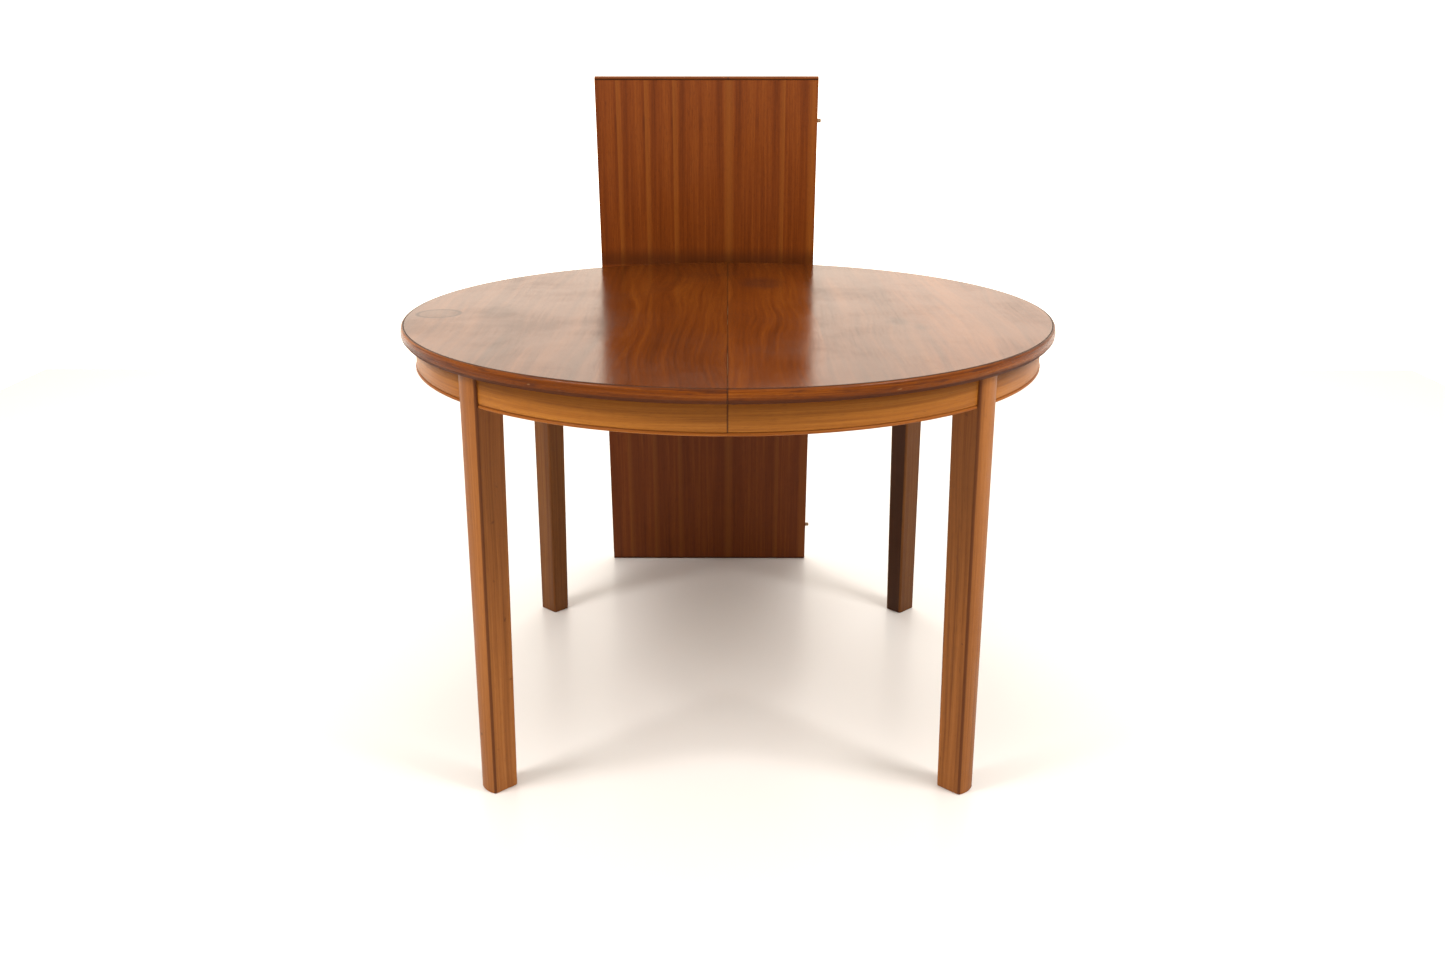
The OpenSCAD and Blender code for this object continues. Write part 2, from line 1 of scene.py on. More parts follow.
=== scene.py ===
# Round extension dining table on four legs, with one loose leaf leaning behind it.
# Metres, Z up. The halves slide apart along X and the front of the table is at -Y.
import math
import bpy
import numpy as np
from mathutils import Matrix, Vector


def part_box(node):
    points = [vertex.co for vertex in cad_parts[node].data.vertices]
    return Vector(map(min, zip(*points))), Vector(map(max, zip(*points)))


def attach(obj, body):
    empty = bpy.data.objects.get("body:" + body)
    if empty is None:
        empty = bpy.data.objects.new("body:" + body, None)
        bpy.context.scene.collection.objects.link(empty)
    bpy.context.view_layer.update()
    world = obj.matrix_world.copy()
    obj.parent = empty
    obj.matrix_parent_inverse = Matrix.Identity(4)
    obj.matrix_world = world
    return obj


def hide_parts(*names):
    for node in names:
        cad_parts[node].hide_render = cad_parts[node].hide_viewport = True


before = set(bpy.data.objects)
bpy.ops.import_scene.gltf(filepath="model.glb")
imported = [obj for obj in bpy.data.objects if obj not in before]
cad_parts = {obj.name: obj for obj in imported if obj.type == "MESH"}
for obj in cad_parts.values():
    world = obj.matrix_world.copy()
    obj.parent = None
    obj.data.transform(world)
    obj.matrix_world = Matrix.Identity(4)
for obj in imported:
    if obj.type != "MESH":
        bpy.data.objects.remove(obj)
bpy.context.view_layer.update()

# ---------------------------------------------------------------------------
# Legs: four posts of solid teak, planed with a bowed outer face, tapered below
# the apron and varnished. Each is dowelled to the aprons on both sides of it.
# ---------------------------------------------------------------------------
LEG_ANGLE = 44.0
LEG_WIDTH, LEG_DEPTH = 0.044, 0.0485
FOOT_WIDTH, FOOT_DEPTH = 0.038, 0.044
LEG_EDGE_OUT = 0.536        # radial place of the outer edges at the apron
FOOT_SPLAY = 0.005
LEG_BOW, LEG_EDGE_R = 0.0045, 0.004
LEG_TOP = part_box("leg_front_left")[1][2]
APRON_LOW = 0.648
TAPER_START = APRON_LOW - 0.012
FOOT_BEVEL = 0.002
SIDES = {"left": -1, "right": 1}
ENDS = {"front": -1, "back": 1}


def arc(cx, cy, radius, first, last, steps=8):
    """Points on a circle round (cx, cy), from the first angle to the last, in degrees."""
    turn = np.radians(np.linspace(first, last, steps + 1))
    return np.stack([cx + radius * np.cos(turn), cy + radius * np.sin(turn)], axis=1)


def leg_outline(width, depth):
    """Section of a leg: a rectangle with round corners, whose outer side is an arc
    through both corners that rises by the bow. x is outwards, y along the apron."""
    bow_r = ((width / 2) ** 2 + LEG_BOW ** 2) / (2 * LEG_BOW)
    bow_x = LEG_BOW - bow_r
    side = width / 2 - LEG_EDGE_R
    edge_x = bow_x + math.sqrt((bow_r - LEG_EDGE_R) ** 2 - side ** 2)
    lean = math.degrees(math.atan2(side, edge_x - bow_x))
    back_x = LEG_EDGE_R - depth
    return np.concatenate([
        arc(back_x, -side, LEG_EDGE_R, 180, 270),
        arc(edge_x, -side, LEG_EDGE_R, 270, 360 - lean),
        arc(bow_x, 0, bow_r, -lean, lean, 14)[1:-1],
        arc(edge_x, side, LEG_EDGE_R, lean, 90),
        arc(back_x, side, LEG_EDGE_R, 90, 180)])


def run_length(points):
    """Distance along a row of points, closed back to its first point."""
    steps = np.linalg.norm(np.roll(points, -1, axis=0) - points, axis=1)
    return np.concatenate([[0.0], np.cumsum(steps)])


def skin(name, rings, along, around, materials):
    """A closed solid from rings of points. Quads join ring i to ring i + 1 and point j to
    point j + 1, and a flat face closes each end. Its UV map, called grain, holds metres
    along the wood and metres round the section. The second material is the end grain."""
    count, size = rings.shape[:2]
    i, j = np.meshgrid(np.arange(count - 1), np.arange(size), indexing="ij")
    k = (j + 1) % size
    quads = np.stack([i * size + j, i * size + k, (i + 1) * size + k, (i + 1) * size + j], -1)
    uv = np.stack([
        np.stack([along[i, j], around[j]], -1), np.stack([along[i, k], around[j + 1]], -1),
        np.stack([along[i + 1, k], around[j + 1]], -1), np.stack([along[i + 1, j], around[j]], -1)], 2)
    quads = quads.reshape(-1, 4)
    uv = uv.reshape(-1, 4, 2)
    points = rings.reshape(-1, 3)
    a, b, c, d = (points[quads[:, n]] for n in range(4))
    middle = points.mean(axis=0)
    outward = np.einsum("ij,ij->i", np.cross(c - a, d - b), (a + b + c + d) / 4 - middle).sum() > 0
    if not outward:
        quads, uv = quads[:, ::-1], uv[:, ::-1]
    first, last = np.arange(size), np.arange(size) + (count - 1) * size
    caps = [first[::-1], last] if outward else [first, last[::-1]]
    faces = quads.tolist() + [cap.tolist() for cap in caps]
    mesh = bpy.data.meshes.new(name)
    mesh.from_pydata(points.tolist(), [], faces)
    cap_uv = [np.stack([np.full(size, n * 0.05), np.linspace(0, around[-1], size)], 1) for n in (0, 1)]
    mesh.uv_layers.new(name="grain").data.foreach_set(
        "uv", np.concatenate([uv.reshape(-1, 2)] + cap_uv).astype(np.float32).ravel())
    smooth = np.ones(len(faces), dtype=bool)
    smooth[-2:] = False
    mesh.polygons.foreach_set("use_smooth", smooth)
    mesh.polygons.foreach_set("material_index", (~smooth).astype(np.int32))
    for material in materials:
        mesh.materials.append(material)
    piece = bpy.data.objects.new(name, mesh)
    bpy.context.scene.collection.objects.link(piece)
    even = piece.modifiers.new("even normals", "WEIGHTED_NORMAL")
    even.keep_sharp = True
    return piece


def node(tree, kind, inputs=None, **settings):
    """Adds a shader node, sets its settings, and fills or links its inputs."""
    made = tree.nodes.new("ShaderNode" + kind)
    for key, value in settings.items():
        setattr(made, key, value)
    for key, value in (inputs or {}).items():
        if isinstance(value, bpy.types.NodeSocket):
            tree.links.new(value, made.inputs[key])
        else:
            made.inputs[key].default_value = value
    return made


def calc(tree, operation, a, b=0.0):
    """The result of one sum on one or two values."""
    return node(tree, "Math", {0: a, 1: b}, operation=operation).outputs[0]


def fade(tree, value, low, high, out_low=0.0, out_high=1.0):
    """Moves a value smoothly from out_low at low to out_high at high."""
    inputs = {"Value": value, "From Min": low, "From Max": high, "To Min": out_low, "To Max": out_high}
    return node(tree, "MapRange", inputs, interpolation_type="SMOOTHSTEP").outputs[0]


def tint(tree, amount, a, b, mode="MIX"):
    """Colour a with that amount of colour b laid over it."""
    mixed = node(tree, "Mix", {0: amount, 6: a, 7: b}, data_type="RGBA", blend_type=mode)
    return mixed.outputs[2]


def ramp(tree, value, *stops):
    """A colour ramp through (place, (r, g, b)) stops."""
    made = node(tree, "ValToRGB", {0: value})
    elements = made.color_ramp.elements
    while len(elements) < len(stops):
        elements.new(0.5)
    for element, (place, colour) in zip(elements, stops):
        element.position = place
        element.color = (*colour, 1.0)
    return made.outputs[0]


def grain_noise(tree, along, across, depth, stretch, detail=2.0, rough=0.55):
    """Noise drawn out along the wood: stretch is its cycles per metre along and across."""
    place = node(tree, "CombineXYZ", {
        0: calc(tree, "MULTIPLY", along, stretch[0]), 1: calc(tree, "MULTIPLY", across, stretch[1]),
        2: calc(tree, "MULTIPLY", depth, stretch[1])}).outputs[0]
    inputs = {"Vector": place, "Scale": 1.0, "Detail": detail, "Roughness": rough}
    return node(tree, "TexNoise", inputs).outputs[0]


def new_material(name):
    """An empty material and its shader tree."""
    material = bpy.data.materials.new(name)
    material.use_nodes = True
    tree = material.node_tree
    tree.nodes.clear()
    return material, tree


def uv_grain(tree):
    """Metres along and across the wood, from the piece's own grain map, and a third value
    that is nought all over."""
    parts = node(tree, "SeparateXYZ", {0: node(tree, "UVMap", uv_map="grain").outputs[0]})
    return parts.outputs[0], parts.outputs[1], parts.outputs[2]


def timber(tree, along, across, depth, tones, wander=0.010, streak=150.0, figure=22.0):
    """Colour, height and tone of plain-sawn wood. Its lines follow the length and wander
    slowly. Broad figure, streaks a few millimetres wide and fine fibres add up to the
    tone, which runs through three colours from the darkest line to the palest, and short
    dark pores lie over them."""
    drift = grain_noise(tree, along, across, depth, (2.0, 5.0), 1.0)
    shift = calc(tree, "MULTIPLY", calc(tree, "SUBTRACT", drift, 0.5), wander * 4)
    bent = calc(tree, "ADD", across, shift)
    broad = grain_noise(tree, along, bent, depth, (0.9, figure), 2.0)
    streaks = grain_noise(tree, along, bent, depth, (2.2, streak), 3.0, 0.62)
    fibres = grain_noise(tree, along, bent, depth, (18.0, streak * 5), 2.0, 0.6)
    pores = grain_noise(tree, along, bent, depth, (60.0, streak * 11), 1.0)
    pore = fade(tree, pores, 0.60, 0.72)
    tone = calc(tree, "ADD", calc(tree, "MULTIPLY", broad, 0.42), calc(tree, "MULTIPLY", streaks, 0.40))
    tone = calc(tree, "ADD", tone, calc(tree, "MULTIPLY", fibres, 0.18))
    colour = ramp(tree, tone, (0.34, tones[0]), (0.50, tones[1]), (0.66, tones[2]))
    dark_pore = tuple(v * 0.45 for v in tones[0])
    colour = tint(tree, calc(tree, "MULTIPLY", pore, 0.55), colour, (*dark_pore, 1.0))
    height = calc(tree, "SUBTRACT", calc(tree, "MULTIPLY", fibres, 0.35), pore)
    return colour, height, tone


def varnish(tree, colour, roughness, height, depth=0.00006, gloss=0.5):
    """Closes the material: a finished surface with the open pores showing as relief that is
    depth metres deep. The gloss is how much the surface mirrors."""
    bump = node(tree, "Bump", {"Height": height, "Distance": depth, "Strength": 1.0})
    inputs = {"Base Color": colour, "Roughness": roughness, "Normal": bump.outputs[0],
              "Specular IOR Level": gloss}
    shader = node(tree, "BsdfPrincipled", inputs)
    node(tree, "OutputMaterial", {"Surface": shader.outputs[0]})


def leg_teak(name, start, shade, dark_face):
    """Solid teak of a leg: long straight grain, a few darker heart streaks and knocks, and a
    dark line along the two outer edges. Its section starts at start metres round the grain
    map, shade is its brown beside the other legs, lowered on the back legs as painted shade
    from the top over them, and dark_face is how much of the inward face is dark heartwood.
    All faces but the bowed outer one get painted shade near the top, where the apron and
    rim shade them."""
    material, tree = new_material(name)
    along, across, depth = uv_grain(tree)
    tones = tuple(tuple(v * shade for v in tone) for tone in LEG_TONES)
    colour, height = timber(tree, along, across, depth, tones, 0.006, 210.0, 34.0)[:2]
    around = calc(tree, "SUBTRACT", across, start)
    # A dark line along each of the two outer edges of the leg
    for edge in LEG_ARRISES:
        near = calc(tree, "ABSOLUTE", calc(tree, "SUBTRACT", around, edge))
        colour = tint(tree, fade(tree, near, 0.0014, 0.0040, 0.80, 0.0), colour, (0.085, 0.022, 0.006, 1.0))
    inward = fade(tree, around, LEG_BACK - 0.002, LEG_BACK + 0.002)
    heart_face = calc(tree, "MULTIPLY", inward, dark_face)
    colour = tint(tree, heart_face, colour, (0.036, 0.012, 0.006, 1.0))
    place = node(tree, "TexCoord").outputs["Object"]
    z = node(tree, "SeparateXYZ", {0: place}).outputs[2]
    bowed = calc(tree, "MULTIPLY", fade(tree, around, LEG_ARRISES[0] - 0.001, LEG_ARRISES[0] + 0.001),
                 fade(tree, around, LEG_ARRISES[1] - 0.001, LEG_ARRISES[1] + 0.001, 1.0, 0.0))
    # Painted shade: every face but the bowed outer one darkens towards the top, under the apron and rim
    shade_near_top = fade(tree, z, 0.25, 0.64, 0.0, 0.42)
    shaded = calc(tree, "MULTIPLY", calc(tree, "SUBTRACT", 1.0, bowed), shade_near_top)
    colour = tint(tree, shaded, colour, (0.10, 0.030, 0.008, 1.0))
    heart = grain_noise(tree, along, across, depth, (1.3, 26.0), 3.0, 0.7)
    colour = tint(tree, fade(tree, heart, 0.58, 0.75, 0.0, 0.5), colour, (0.075, 0.026, 0.010, 1.0))
    knocks = node(tree, "TexNoise", {"Vector": place, "Scale": 42.0, "Detail": 2.0}).outputs[0]
    colour = tint(tree, fade(tree, knocks, 0.70, 0.78, 0.0, 0.55), colour, (0.045, 0.018, 0.010, 1.0))
    rubbed = node(tree, "TexNoise", {"Vector": place, "Scale": 9.0, "Detail": 3.0}).outputs[0]
    roughness = fade(tree, rubbed, 0.35, 0.65, 0.34, 0.46)
    varnish(tree, colour, roughness, height, gloss=0.12)
    return material


def end_grain(name, dark, pale):
    """Cut ends: dense specks in place of long lines, darker than the faces."""
    material, tree = new_material(name)
    place = node(tree, "TexCoord").outputs["Object"]
    specks = node(tree, "TexNoise", {"Vector": place, "Scale": 900.0, "Detail": 2.0}).outputs[0]
    rings = node(tree, "TexNoise", {"Vector": place, "Scale": 70.0, "Detail": 3.0}).outputs[0]
    tone = calc(tree, "ADD", calc(tree, "MULTIPLY", specks, 0.5), calc(tree, "MULTIPLY", rings, 0.5))
    varnish(tree, ramp(tree, tone, (0.38, dark), (0.62, pale)), 0.5, specks)
    return material


TEAK_ENDS = end_grain("teak_end_grain", (0.07, 0.024, 0.008), (0.17, 0.062, 0.02))
LEG_STEPS, HEAD_STEPS, FOOT_STEPS = 33, 5, 12       # rings up the taper, above it and at the foot
NEXT_ALONG, NEXT_ACROSS = 1.37, 0.31        # from one leg's place in the wood to the next one's
# Each leg's shade of brown and how dark its inward face is, front pair first. The back pair's low shade
# values are painted shade from the table top over them
LEG_SHADES = ((1.08, 0.1), (1.06, 0.2), (0.58, 0.0), (0.44, 0.75))
LEG_TONES = ((0.170, 0.053, 0.011), (0.295, 0.100, 0.022), (0.41, 0.157, 0.038))
LEG_LENGTHS = run_length(leg_outline(LEG_WIDTH, LEG_DEPTH))
LEG_ARRISES = (LEG_LENGTHS[13], LEG_LENGTHS[35])    # middles of the two outer edges
LEG_BACK = LEG_LENGTHS[-2]                          # start of the inward face


def build_leg(name, side, end, number):
    """Rings up the leg. The section is blended from the foot's to the leg's over the taper,
    and rounds in over the last millimetres to the floor."""
    turn = np.radians(np.linspace(90, 0, FOOT_STEPS + 1))
    foot_z = FOOT_BEVEL * (1 - np.sin(turn))
    foot_in = FOOT_BEVEL * (1 - np.cos(turn))
    heights = np.concatenate([foot_z, np.linspace(FOOT_BEVEL, TAPER_START, LEG_STEPS + 1)[1:],
                              np.linspace(TAPER_START, LEG_TOP, HEAD_STEPS + 1)[1:]])
    inset = np.concatenate([foot_in, np.zeros(len(heights) - len(foot_in))])
    blend = np.clip((heights - FOOT_BEVEL) / (TAPER_START - FOOT_BEVEL), 0, 1)
    top, foot = leg_outline(LEG_WIDTH, LEG_DEPTH), leg_outline(FOOT_WIDTH, FOOT_DEPTH)
    outline = foot + (top - foot) * blend[:, None, None]
    middle = np.array([-FOOT_DEPTH / 2, 0.0])
    reach = np.abs(outline - middle).max(axis=1, keepdims=True)
    outline = middle + (outline - middle) * (1 - inset[:, None, None] / reach)
    out = LEG_EDGE_OUT + FOOT_SPLAY * (1 - blend)
    u = outline[:, :, 0] + out[:, None]
    v = outline[:, :, 1]
    angle = math.radians(LEG_ANGLE)
    x = side * (u * math.cos(angle) - v * math.sin(angle))
    y = end * (u * math.sin(angle) + v * math.cos(angle))
    z = np.repeat(heights[:, None], outline.shape[1], axis=1)
    rings = np.stack([x, y, z], axis=-1)
    start = number * NEXT_ACROSS
    finish = leg_teak(name + "_teak", start, *LEG_SHADES[number])
    return skin(name, rings, z + number * NEXT_ALONG, LEG_LENGTHS + start, [finish, TEAK_ENDS])


for number, (end_name, side_name) in enumerate((e, s) for e in ENDS for s in SIDES):
    leg_name = "leg_%s_%s" % (end_name, side_name)
    leg = build_leg(leg_name + "_post", SIDES[side_name], ENDS[end_name], number)
    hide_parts(leg_name)
    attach(leg, side_name + "_half")

# ---------------------------------------------------------------------------
# Aprons: strips bent to the circle and faced with teak, butted and dowelled to the
# legs and split at the front and back. A solid edging is glued under each of them.
# ---------------------------------------------------------------------------
SPLIT = 0.00015             # half the closing gap between the two halves
APRON_OUT, APRON_THICK = 0.5325, 0.020
APRON_IN = APRON_OUT - APRON_THICK
EDGING_HIGH, EDGING_PROUD, EDGING_GAP = 0.005, 0.0015, 0.0015
QUIRK = 0.001               # shadow groove over the edging
EASE = 0.0006               # softened arris


def meets_leg(radius, gap=0.0):
    """Angle from the X axis at which a circle of that radius leaves the far side face of a
    leg, with a gap between."""
    return math.radians(LEG_ANGLE) + np.arcsin((LEG_WIDTH / 2 + gap) / radius)


def before_leg(radius, gap=0.0):
    """The same for the side face that is nearer to the X axis."""
    return math.radians(LEG_ANGLE) - np.arcsin((LEG_WIDTH / 2 + gap) / radius)


def meets_split(radius):
    """Angle at which a circle of that radius reaches the split."""
    return np.arccos(SPLIT / radius)


def bend(name, profile, first, last, side, end, steps, shift, materials):
    """A profile of (radius, height) carried along an arc. Each point has its own first and
    last angle, so that both ends are cut flat, and side and end mirror it into place. The
    section shrinks a little at both ends, which softens the arris all round the cut."""
    soft = EASE / (profile[:, 0].max() * (last - first).max())
    share = np.linspace(0, 1, steps + 1)
    share = np.concatenate([[0, soft / 3], np.clip(share[1:-1], soft, 1 - soft), [1 - soft / 3, 1]])[:, None]
    angle = first + (last - first) * share
    inset = np.zeros_like(share)
    inset[[0, 1, -2, -1], 0] = EASE, EASE / 3, EASE / 3, EASE
    middle = (profile.max(axis=0) + profile.min(axis=0)) / 2
    half = (profile.max(axis=0) - profile.min(axis=0)) / 2
    radius = middle[0] + (profile[:, 0] - middle[0]) * (1 - inset / half[0])
    x = side * radius * np.cos(angle)
    y = end * radius * np.sin(angle)
    z = middle[1] + (profile[:, 1] - middle[1]) * (1 - inset / half[1])
    along = profile[:, 0].max() * angle + shift
    return skin(name, np.stack([x, y, z], axis=-1), along, run_length(profile), materials)


def darken_beside_split(tree, colour):
    """Darkens a piece in a narrow band each side of the split between the halves. The cut
    itself, right at the split, is not darkened."""
    place = node(tree, "TexCoord").outputs["Object"]
    x = calc(tree, "ABSOLUTE", node(tree, "SeparateXYZ", {0: place}).outputs[0])
    # A darkened band each side of the split, leaving the cut itself as it is
    split_line = calc(tree, "MULTIPLY", fade(tree, x, 0.0002, 0.0003), fade(tree, x, 0.0006, 0.0015, 0.85, 0.0))
    return tint(tree, split_line, colour, (0.018, 0.008, 0.004, 1.0))


def apron_veneer(name):
    """Straight golden teak veneer laid along the curve, with painted shade from the rim's overhang towards
    its upper edge.
    """
    material, tree = new_material(name)
    along, across, depth = uv_grain(tree)
    tones = ((0.190, 0.057, 0.0066), (0.330, 0.108, 0.0125), (0.46, 0.170, 0.024))
    colour, height = timber(tree, along, across, depth, tones, 0.004, 260.0, 60.0)[:2]
    place = node(tree, "TexCoord").outputs["Object"]
    z = node(tree, "SeparateXYZ", {0: place}).outputs[2]
    # Painted shade from the rim's overhang, darkening the apron towards its upper edge
    edge = fade(tree, z, 0.668, 0.697, 0.0, 0.30)
    colour = darken_beside_split(tree, tint(tree, edge, colour, (0.13, 0.036, 0.008, 1.0)))
    rubbed = node(tree, "TexNoise", {"Vector": place, "Scale": 7.0, "Detail": 3.0}).outputs[0]
    varnish(tree, colour, fade(tree, rubbed, 0.35, 0.65, 0.34, 0.46), height, gloss=0.15)
    return material


def edging_teak(name):
    """Solid teak, a little redder than the veneer above it."""
    material, tree = new_material(name)
    along, across, depth = uv_grain(tree)
    tones = ((0.16, 0.040, 0.006), (0.29, 0.085, 0.013), (0.39, 0.13, 0.022))
    colour, height = timber(tree, along, across, depth, tones, 0.003, 300.0, 80.0)[:2]
    varnish(tree, colour, 0.38, height, gloss=0.08)
    return material


APRON_FINISH = [apron_veneer("apron_veneer"), TEAK_ENDS]
EDGING_FINISH = [edging_teak("edging_teak"), TEAK_ENDS]
apron_low = APRON_LOW + EDGING_HIGH
apron_profile = np.concatenate([
    arc(APRON_IN + EASE, apron_low + EASE, EASE, 180, 270, 3),
    [[APRON_OUT - QUIRK, apron_low], [APRON_OUT - QUIRK, apron_low + QUIRK - EASE]],
    arc(APRON_OUT - EASE, apron_low + QUIRK + EASE, EASE, 270, 360, 3),
    [[APRON_OUT, LEG_TOP], [APRON_IN, LEG_TOP]]])
nose = EDGING_HIGH / 2
edging_profile = np.concatenate([
    arc(APRON_IN + EASE, APRON_LOW + EASE, EASE, 180, 270, 3),
    arc(APRON_OUT + EDGING_PROUD - nose, APRON_LOW + nose, nose, 270, 450, 12),
    [[APRON_IN, apron_low]]])

for side_name, side in SIDES.items():
    for part in ("front", "side", "back"):
        end = -1 if part == "front" else 1
        for kind, profile, gap, finish in (("apron", apron_profile, 0.0, APRON_FINISH),
                                           ("apron_edging", edging_profile, EDGING_GAP, EDGING_FINISH)):
            radius = profile[:, 0]
            if part == "side":
                first, last, steps = -before_leg(radius, gap), before_leg(radius, gap), 84
            else:
                first, last, steps = meets_leg(radius, gap), meets_split(radius), 44
            node_name = "%s_%s_%s" % (kind, part, side_name)
            # Every strip is cut from another place of the wood
            shift = 2.1 * side + 0.9 * end
            strip = bend(node_name + "_strip", profile, first, last, side, end, steps, shift, finish)
            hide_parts(node_name)
            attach(strip, side_name + "_half")

# ---------------------------------------------------------------------------
# Edge lippings: solid teak bent round each half, with a bevel underneath, a slightly
# swelled face and a rounded upper edge. A fine dark line marks its joint with the top.
# ---------------------------------------------------------------------------
TABLE_HIGH = 0.720
RIM_R = 0.555
PANEL_THICK = 0.022
LIP_WIDE, LIP_ROUND, LIP_SWELL = 0.006, 0.005, 0.0008
BEVEL_HIGH, BEVEL_WIDE = 0.005, 0.004
JOINT_GROOVE = 0.0011       # width and depth of the line along the joint


def lip_outline():
    """Section of a lipping: x is outwards from the panel, y up from the underside. The face
    is an arc that swells between the bevel and the round, and the round runs on to the
    joint, where a small notch is left."""
    rise = PANEL_THICK - LIP_ROUND - BEVEL_HIGH
    swell_r = ((rise / 2) ** 2 + LIP_SWELL ** 2) / (2 * LIP_SWELL)
    half = math.degrees(math.asin(rise / 2 / swell_r))
    edge = LIP_WIDE - LIP_SWELL
    return np.concatenate([
        [[0, 0], [edge - BEVEL_WIDE, 0]],
        arc(LIP_WIDE - swell_r, BEVEL_HIGH + rise / 2, swell_r, -half, half, 10),
        arc(edge - LIP_ROUND, PANEL_THICK - LIP_ROUND, LIP_ROUND, 8, 80, 12),
        [[JOINT_GROOVE, PANEL_THICK - 0.0002], [JOINT_GROOVE * 0.7, PANEL_THICK - JOINT_GROOVE],
         [0, PANEL_THICK - JOINT_GROOVE]]])


def lipping_teak(name, bevel_to, line_from, line_to):
    """Darker solid teak with broken reddish streaks, with painted shade low on the face and
    painted shade and dirt on the bevel. Round the section, in metres, the bevel runs up to
    bevel_to, and the dark line along the joint lies from line_from to line_to."""
    material, tree = new_material(name)
    along, across, depth = uv_grain(tree)
    tones = ((0.050, 0.010, 0.0012), (0.178, 0.041, 0.0034), (0.34, 0.100, 0.010))
    colour, height = timber(tree, along, across, depth, tones, 0.004, 240.0, 90.0)[:2]
    broken = grain_noise(tree, along, across, depth, (16.0, 160.0), 3.0, 0.7)
    colour = tint(tree, fade(tree, broken, 0.50, 0.68, 0.0, 0.6), colour, (0.050, 0.013, 0.006, 1.0))
    spot = grain_noise(tree, along, across, depth, (34.0, 120.0), 1.0)
    colour = tint(tree, fade(tree, spot, 0.74, 0.80, 0.0, 0.5), colour, (0.42, 0.20, 0.08, 1.0))
    line = calc(tree, "MULTIPLY", fade(tree, across, line_from - 0.0008, line_from),
                fade(tree, across, line_to, line_to + 0.0008, 1.0, 0.0))
    colour = tint(tree, calc(tree, "MULTIPLY", line, 0.75), colour, (0.036, 0.012, 0.005, 1.0))
    # Painted shade: the face is darkened low down, just above the bevel
    low = fade(tree, across, bevel_to, bevel_to + 0.009, 0.45, 0.0)
    colour = tint(tree, low, colour, (0.075, 0.016, 0.003, 1.0))
    # Painted shade and dirt on the bevel under the lipping
    bevel = fade(tree, across, bevel_to, bevel_to + 0.002, 0.65, 0.0)
    colour = darken_beside_split(tree, tint(tree, bevel, colour, (0.050, 0.013, 0.004, 1.0)))
    dull = calc(tree, "ADD", fade(tree, broken, 0.3, 0.7, 0.22, 0.36), calc(tree, "MULTIPLY", bevel, 0.5))
    varnish(tree, colour, dull, height, gloss=0.10)
    return material


lip_section = lip_outline()
lip_lengths = run_length(lip_section)
# The bevel ends at the third point, and the joint line covers the last of the round
lip_parts = (lip_lengths[2], lip_lengths[-8], lip_lengths[-2])
lipping_finish = [lipping_teak("lipping_teak", *lip_parts), TEAK_ENDS]
for side_name, side in SIDES.items():
    profile = lip_section + [RIM_R - LIP_WIDE, TABLE_HIGH - PANEL_THICK]
    split = meets_split(profile[:, 0])
    rim = bend("edge_lipping_%s_bend" % side_name, profile, -split, split, side, 1, 200, side, lipping_finish)
    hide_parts("edge_lipping_" + side_name)
    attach(rim, side_name + "_half")

# ---------------------------------------------------------------------------
# Top panels: two half discs of board, faced with long leaves of teak veneer that run
# from front to back, under a hard glossy varnish that use has dulled and stained.
# ---------------------------------------------------------------------------
TOP_LEAF = 0.150            # width of one leaf of veneer
DULLEST = 0.26              # the varnish is nowhere rougher
RING_MARK = (-0.497, -0.026, 0.036)     # middle and radius
# Dark smudges: middle, radius and strength
SMUDGES = ((0.065, 0.29, 0.06, 0.6), (0.285, -0.092, 0.028, 0.6), (0.318, -0.140, 0.022, 0.55),
           (-0.396, -0.001, 0.05, 0.35), (0.379, -0.474, 0.030, 0.6))


def object_axes(tree, turn=(0.0, 0.0, 0.0), shift=(0.0, 0.0, 0.0)):
    """The piece's own coordinates after a shift and a turn, as three sockets."""
    place = node(tree, "TexCoord").outputs["Object"]
    moved = node(tree, "Mapping", {"Vector": place, "Location": shift, "Rotation": turn})
    return node(tree, "SeparateXYZ", {0: moved.outputs[0]}).outputs


def veneer_leaf(tree, across, width, offset):
    """The number of the veneer leaf a point lies on, and a random value for that leaf."""
    number = calc(tree, "FLOOR", calc(tree, "DIVIDE", calc(tree, "ADD", across, offset), width))
    chance = node(tree, "TexWhiteNoise", {"W": number}, noise_dimensions="1D").outputs[0]
    return number, chance


def distance_to(tree, x, y, cx, cy, stretch=1.0):
    """Distance from (cx, cy), with y counted stretch times."""
    dx = calc(tree, "SUBTRACT", x, cx)
    dy = calc(tree, "MULTIPLY", calc(tree, "SUBTRACT", y, cy), stretch)
    both = calc(tree, "ADD", calc(tree, "MULTIPLY", dx, dx), calc(tree, "MULTIPLY", dy, dy))
    return calc(tree, "SQRT", both)


